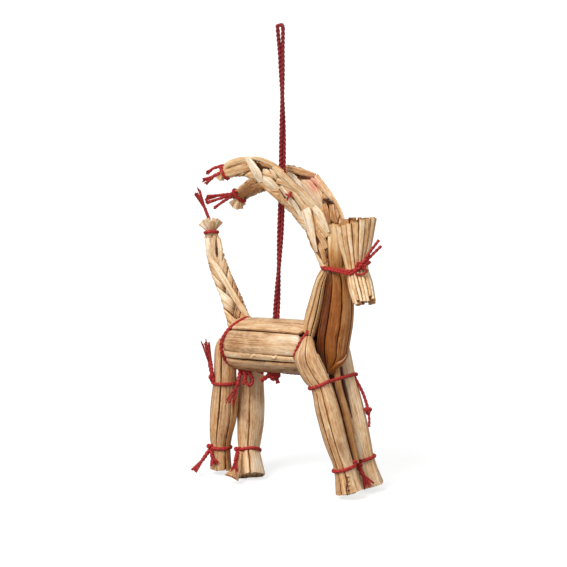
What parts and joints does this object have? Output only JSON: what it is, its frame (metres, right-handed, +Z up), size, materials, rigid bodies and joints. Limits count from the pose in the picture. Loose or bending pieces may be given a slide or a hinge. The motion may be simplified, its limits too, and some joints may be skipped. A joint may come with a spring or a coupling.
{
  "type": "hanging straw goat ornament",
  "caption": "Hanging goat figure of flattened straw bundles and plaits, tied with red thread, on a doubled red cord",
  "frame": {"origin": "on the surface the goat stands on, under the middle of its box without the hanging cord", "axes": "+Z up, +X the way the goat faces, +Y its left side"},
  "size_m": [0.0798, 0.0256, 0.1635],
  "materials": {
    "straw": "satin dried straw",
    "dark_straw": "satin browned straw",
    "red_thread": "twisted cotton thread",
    "red_cord": "twisted cotton cord"
  },
  "bodies": {
    "root": {"body_bundle": "straw", "hind_leg_right": "straw", "hind_leg_left": "straw", "front_leg_right": "straw", "front_leg_left": "straw", "head_bundle": "straw", "horn_right": "straw", "horn_left": "straw", "tail": "straw", "neck_bundle": "dark_straw", "loose_stem": "dark_straw", "rump_tie": "red_thread", "shoulder_tie": "red_thread", "hind_knee_tie": "red_thread", "front_knee_tie": "red_thread", "hind_hoof_tie_right": "red_thread", "hind_hoof_tie_left": "red_thread", "front_hoof_tie_right": "red_thread", "front_hoof_tie_left": "red_thread", "head_tie": "red_thread", "horn_tie_right": "red_thread", "horn_tie_left": "red_thread", "tail_tie": "red_thread", "hanging_cord": "red_cord", "belly_knot": "red_cord"}
  },
  "joints": []
}
